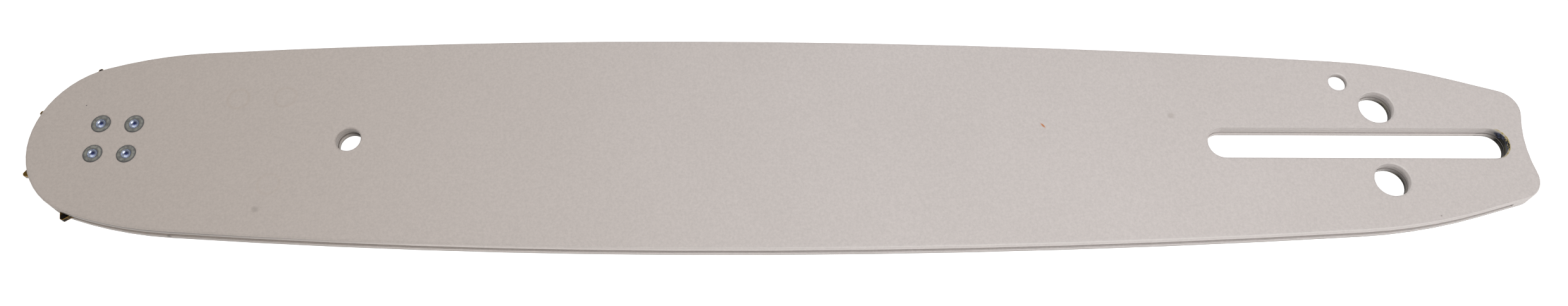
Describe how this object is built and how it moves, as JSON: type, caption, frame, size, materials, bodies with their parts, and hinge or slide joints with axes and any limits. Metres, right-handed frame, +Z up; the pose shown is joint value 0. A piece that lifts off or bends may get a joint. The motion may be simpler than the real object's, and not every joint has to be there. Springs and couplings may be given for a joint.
{
  "type": "chainsaw guide bar",
  "caption": "Flat laminated chainsaw guide bar with a rounded sprocket nose, chain groove along both edges, stud slot, tension holes and hang hole; guides a saw chain.",
  "frame": {"origin": "centre of the stud slot, on the back face of the back plate", "axes": "+X along the bar from the nose to the tail, +Y across to the side with the oil hole, +Z up out of the front plate"},
  "size_m": [0.372, 0.0578, 0.0044],
  "materials": {
    "painted_steel": "satin powder coat",
    "burnished_steel": "hardened and burnished",
    "rivet_steel": "bare, peened",
    "bearing_steel": "ground"
  },
  "bodies": {
    "bar": {"front_plate": "painted_steel", "core_plate": "painted_steel", "back_plate": "painted_steel", "bearing_hub": "bearing_steel", "nose_rivets": "rivet_steel"},
    "sprocket": {"nose_sprocket": "burnished_steel"},
    "roller_set": {"roller_01": "bearing_steel", "roller_02": "bearing_steel", "roller_03": "bearing_steel", "roller_04": "bearing_steel", "roller_05": "bearing_steel", "roller_06": "bearing_steel", "roller_07": "bearing_steel", "roller_08": "bearing_steel", "roller_09": "bearing_steel", "roller_10": "bearing_steel", "roller_11": "bearing_steel", "roller_12": "bearing_steel", "roller_13": "bearing_steel", "roller_14": "bearing_steel", "roller_15": "bearing_steel", "roller_16": "bearing_steel", "roller_17": "bearing_steel", "roller_18": "bearing_steel"}
  },
  "joints": [
    {"name": "sprocket_spin", "type": "hinge", "parent": "bar", "child": "sprocket", "pos_m": [-0.3086, 0, 0.0022], "axis": [0, 0, 1], "continuous": true},
    {"name": "roller_orbit", "type": "hinge", "parent": "bar", "child": "roller_set", "pos_m": [-0.3086, 0, 0.0022], "axis": [0, 0, 1], "continuous": true}
  ],
  "couplings": [
    {"joint": "roller_orbit", "follows": "sprocket_spin", "ratio": 0.588}
  ]
}
